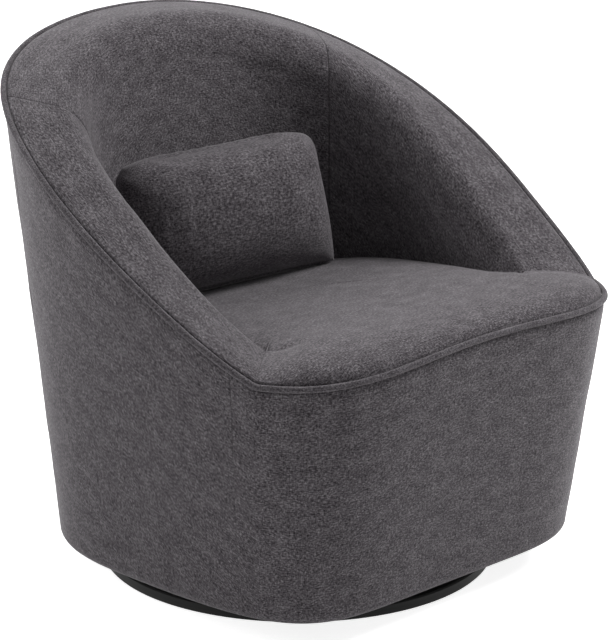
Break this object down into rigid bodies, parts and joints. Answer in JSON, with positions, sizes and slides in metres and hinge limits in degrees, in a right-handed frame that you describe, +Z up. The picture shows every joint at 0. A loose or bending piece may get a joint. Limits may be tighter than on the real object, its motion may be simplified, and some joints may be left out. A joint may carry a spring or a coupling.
{
  "type": "swivel barrel armchair",
  "caption": "Upholstered barrel armchair with arms that sweep up into the back, a tight seat, piping along the rim and a lumbar pillow, on a low round swivel base.",
  "frame": {"origin": "on the floor, under the middle of the chair's footprint box", "axes": "+Z up, -Y towards the seat's front edge, +Y towards the back, X across the arms"},
  "size_m": [0.7338, 0.733, 0.7081],
  "materials": {
    "black_base": "satin black lacquer",
    "glide": "hard felt and plastic",
    "zinc_steel": "zinc plated",
    "cage_brass": "pressed",
    "ball_steel": "polished",
    "plywood": "bare plywood",
    "dust_cloth": "black non-woven cloth",
    "spring_steel": "oiled spring wire",
    "felt": "needled grey felt",
    "webbing": "elastic webbing",
    "hardboard": "brown fibreboard",
    "foam": "cream polyurethane foam",
    "fabric": "heathered dark grey melange weave",
    "piping": "same weave, cut on the bias round a cord",
    "fibre_fill": "white polyester fibre"
  },
  "bodies": {
    "base": {"base_disc": "black_base", "base_glides": "glide", "base_tee_nuts": "zinc_steel", "base_bolts": "zinc_steel", "swivel_lower_plate": "zinc_steel"},
    "ball_race": {"ball_cage": "cage_brass", "swivel_balls": "ball_steel"},
    "chair": {"swivel_upper_plate": "zinc_steel", "swivel_pivot": "zinc_steel", "platform_bolts": "zinc_steel", "platform_tee_nuts": "zinc_steel", "bottom_platform": "plywood", "dust_cover": "dust_cloth", "dust_cover_staples": "zinc_steel", "front_leg_ribs": "plywood", "side_leg_ribs": "plywood", "back_leg_ribs": "plywood", "front_rail": "plywood", "side_rail_left": "plywood", "side_rail_right": "plywood", "back_rail": "plywood", "seat_springs": "spring_steel", "spring_clips": "zinc_steel", "clip_nails": "zinc_steel", "spring_felt": "felt", "arm_ribs_left": "plywood", "arm_ribs_right": "plywood", "back_ribs": "plywood", "arm_top_rail_left": "plywood", "arm_top_rail_right": "plywood", "back_top_rail": "plywood", "arm_webbing_left": "webbing", "arm_webbing_right": "webbing", "back_webbing": "webbing", "front_board": "hardboard", "side_board_left": "hardboard", "side_board_right": "hardboard", "back_board": "hardboard", "seat_foam": "foam", "arm_foam_left": "foam", "arm_foam_right": "foam", "back_foam": "foam", "seat_cover": "fabric", "arm_cover_left": "fabric", "arm_cover_right": "fabric", "back_cover": "fabric", "front_panel": "fabric", "side_panel_left": "fabric", "side_panel_right": "fabric", "back_panel": "fabric", "welt": "piping"},
    "pillow": {"pillow_front": "fabric", "pillow_back": "fabric", "pillow_fill": "fibre_fill"}
  },
  "joints": [
    {"name": "swivel", "type": "hinge", "parent": "base", "child": "chair", "pos_m": [0, -0.015, 0.02], "axis": [0, 0, 1], "continuous": true},
    {"name": "race_turn", "type": "hinge", "parent": "base", "child": "ball_race", "pos_m": [0, -0.015, 0.02], "axis": [0, 0, 1], "continuous": true},
    {"name": "pillow_lift", "type": "slide", "parent": "chair", "child": "pillow", "axis": [0, 0, 1], "range_m": [0, 0.45]}
  ],
  "couplings": [
    {"joint": "race_turn", "follows": "swivel", "ratio": 0.5}
  ]
}
